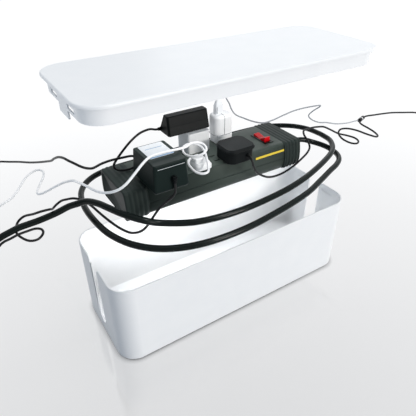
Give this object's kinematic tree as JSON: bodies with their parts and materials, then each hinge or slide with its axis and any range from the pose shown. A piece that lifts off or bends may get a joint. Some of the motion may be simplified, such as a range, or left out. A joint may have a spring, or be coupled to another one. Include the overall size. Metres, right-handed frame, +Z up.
{
  "type": "cable management box",
  "caption": "Lidded box with end slots that hides a switched power strip, its adapters and spare cord. Drawn open, with the lid and the strip lifted above the box.",
  "frame": {"origin": "centre of the box's footprint, on the table", "axes": "+X along the box towards the strip's cord gland, +Y across it, +Z up"},
  "size_m": [1.036, 0.41, 0.3722],
  "materials": {
    "shell_white": "satin, softly reflecting",
    "pad_rubber": "matt",
    "strip_dark": "satin",
    "cap_dark": "satin, ribbed",
    "contact_brass": "bright",
    "wire_brown": "satin",
    "wire_blue": "satin",
    "wire_green": "satin",
    "switch_black": "satin",
    "rocker_red": "gloss",
    "screw_steel": "bright",
    "label_yellow": "satin",
    "adapter_black": "fine texture",
    "label_white": "satin",
    "adapter_white": "satin",
    "plug_clear": "milky",
    "cord_black": "satin",
    "cord_white": "satin",
    "cord_grey": "satin"
  },
  "bodies": {
    "box": {"base_box": "shell_white", "rubber_feet": "pad_rubber", "mains_tail": "cord_black", "mains_coil": "cord_black", "mains_plug": "cord_black", "mains_plug_blades": "contact_brass", "white_coil": "cord_white", "white_connector": "cord_white", "brick_coil": "cord_black", "brick_connector": "cord_black", "wedge_coil": "cord_black", "wedge_connector": "cord_black", "right_cord": "cord_black", "right_coil": "cord_black", "right_connector": "cord_black"},
    "lid": {"lid": "shell_white"},
    "strip": {"strip_lower_shell": "strip_dark", "strip_upper_shell": "strip_dark", "end_cap_left": "cap_dark", "end_cap_right": "cap_dark", "live_bus": "contact_brass", "neutral_bus": "contact_brass", "earth_bus": "contact_brass", "live_wire": "wire_brown", "neutral_wire": "wire_blue", "earth_wire": "wire_green", "switch_housing": "switch_black", "switch_terminals": "contact_brass", "strip_screws": "screw_steel", "cord_gland": "cord_black", "stripe_label": "label_yellow", "brick_adapter": "adapter_black", "brick_label": "label_white", "wedge_adapter": "adapter_black", "cube_tap": "adapter_white", "tall_charger": "adapter_white", "charger_plug": "plug_clear", "flat_plug": "adapter_black", "white_plug": "adapter_white", "plug_blades": "contact_brass", "mains_loop": "cord_black", "white_cord": "cord_white", "brick_cord": "cord_black", "wedge_cord": "cord_black", "grey_cord": "cord_grey", "flat_cord": "cord_black", "inline_joiner": "cord_black"},
    "rocker": {"rocker": "rocker_red"}
  },
  "joints": [
    {"name": "lid_lift", "type": "slide", "parent": "box", "child": "lid", "axis": [0, 0, 1], "range_m": [-0.235, 0]},
    {"name": "strip_lift", "type": "slide", "parent": "box", "child": "strip", "axis": [0, 0, 1], "range_m": [-0.2021, 0], "deforming": ["mains_loop", "mains_tail", "white_cord", "brick_cord", "wedge_cord", "grey_cord", "flat_cord", "right_cord"]},
    {"name": "rocker_tilt", "type": "hinge", "parent": "strip", "child": "rocker", "pos_m": [0.068, -0.0064, 0.2445], "axis": [1, 0, 0], "range_deg": [0, 16]}
  ],
  "couplings": [
    {"joint": "strip_lift", "follows": "lid_lift", "ratio": 0.86}
  ]
}
